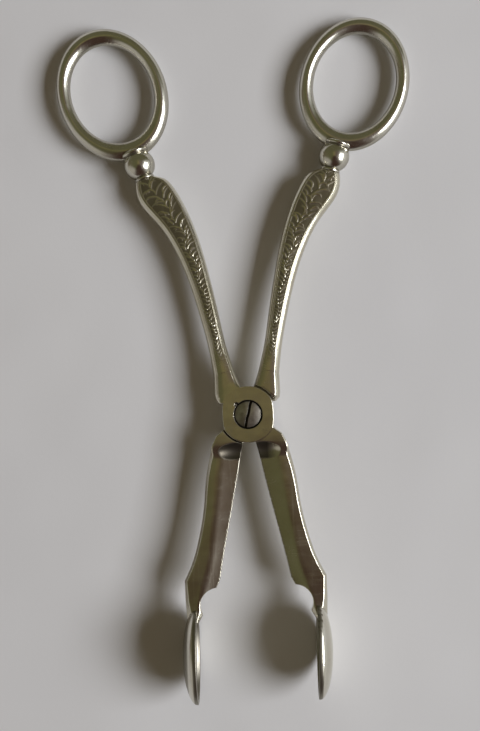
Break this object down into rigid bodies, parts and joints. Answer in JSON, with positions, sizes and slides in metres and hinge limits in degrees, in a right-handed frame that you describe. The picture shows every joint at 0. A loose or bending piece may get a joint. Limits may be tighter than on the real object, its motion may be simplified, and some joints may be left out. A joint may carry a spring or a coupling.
{
  "type": "ice tongs",
  "caption": "Scissor-action ice tongs with oval finger rings, engraved handles, a screw pivot, toothed jaw arms and facing oval bowls.",
  "frame": {"origin": "on the pivot axis, at the back face of the joint", "axes": "+Z along the pivot axis, out of the face with the screw head; +Y towards the finger rings, along the tongs; +X to the right, seen from the screw's side with the rings up"},
  "size_m": [0.0918, 0.1765, 0.0164],
  "materials": {
    "silver_plate": "polished silver plate, softly worn",
    "engraved_silver_plate": "silver plate with engraved scrolls, tarnished in the cuts",
    "nickel_silver": "polished nickel silver, plate worn thin",
    "steel": "satin steel, darkened in the slot"
  },
  "bodies": {
    "upper_half": {"left_finger_ring": "silver_plate", "left_ball_knop": "silver_plate", "left_handle": "engraved_silver_plate", "right_jaw": "nickel_silver", "right_bowl": "silver_plate"},
    "lower_half": {"right_finger_ring": "silver_plate", "right_ball_knop": "silver_plate", "right_handle": "engraved_silver_plate", "left_jaw": "nickel_silver", "left_bowl": "silver_plate", "pivot_screw": "steel"}
  },
  "joints": [
    {"name": "pivot", "type": "hinge", "parent": "lower_half", "child": "upper_half", "pos_m": [0, 0, 0.0025], "axis": [0, 0, 1], "range_deg": [-22.4, 45]}
  ]
}
